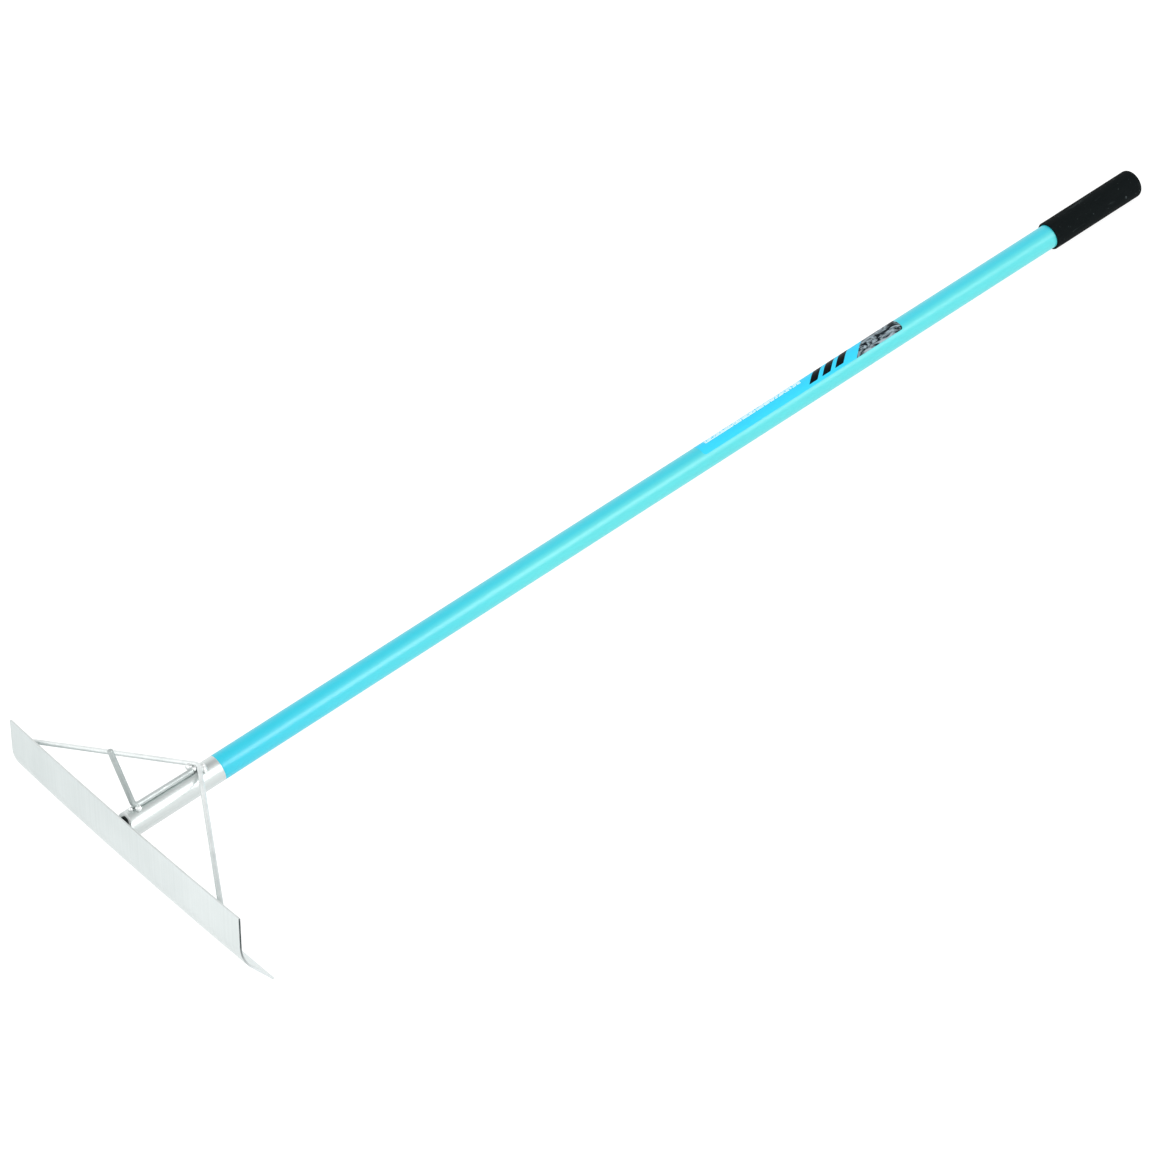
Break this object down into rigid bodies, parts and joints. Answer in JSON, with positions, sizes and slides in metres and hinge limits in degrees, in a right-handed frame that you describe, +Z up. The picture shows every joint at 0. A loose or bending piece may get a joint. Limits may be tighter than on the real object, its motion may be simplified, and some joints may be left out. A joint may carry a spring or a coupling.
{
  "type": "draw hoe",
  "caption": "Long-handled aluminium draw hoe: a wide bent blade welded across a tube and braced to it, an upright hook behind the blade, a coated round handle and a closed rubber grip.",
  "frame": {"origin": "centre of the bounding box in plan, at the level of the flat surface the tool lies on", "axes": "+X along the blade; +Y along the handle from the blade to the grip, in plan; +Z up, the way the hook points. The tool lies on the blade's lip and the end of its grip, so the handle falls 2.3 degrees towards the grip."},
  "size_m": [0.5, 1.608, 0.1896],
  "materials": {
    "blade_aluminium": "brushed sheet, fine lines up the blade",
    "tube_aluminium": "drawn tube, satin",
    "rod_aluminium": "drawn rod, satin",
    "weld_metal": "rippled fillet weld, satin",
    "rivet_metal": "satin",
    "handle_paint": "light blue coating, semi-gloss",
    "label_film": "printed film, gloss",
    "grip_rubber": "black, matte"
  },
  "bodies": {
    "root": {"blade": "blade_aluminium", "socket_tube": "tube_aluminium", "joining_sleeve": "rivet_metal", "handle_tube": "handle_paint", "rivet_socket": "rivet_metal", "rivet_handle": "rivet_metal", "grip": "grip_rubber", "brace_rod": "rod_aluminium", "hook_rod": "rod_aluminium", "label": "label_film", "weld_socket_left": "weld_metal", "weld_socket_right": "weld_metal", "weld_brace_left": "weld_metal", "weld_brace_right": "weld_metal", "weld_apex_left": "weld_metal", "weld_apex_right": "weld_metal", "weld_hook_foot_left": "weld_metal", "weld_hook_foot_right": "weld_metal", "weld_hook_toe": "weld_metal", "weld_hook_rear": "weld_metal"}
  },
  "joints": []
}
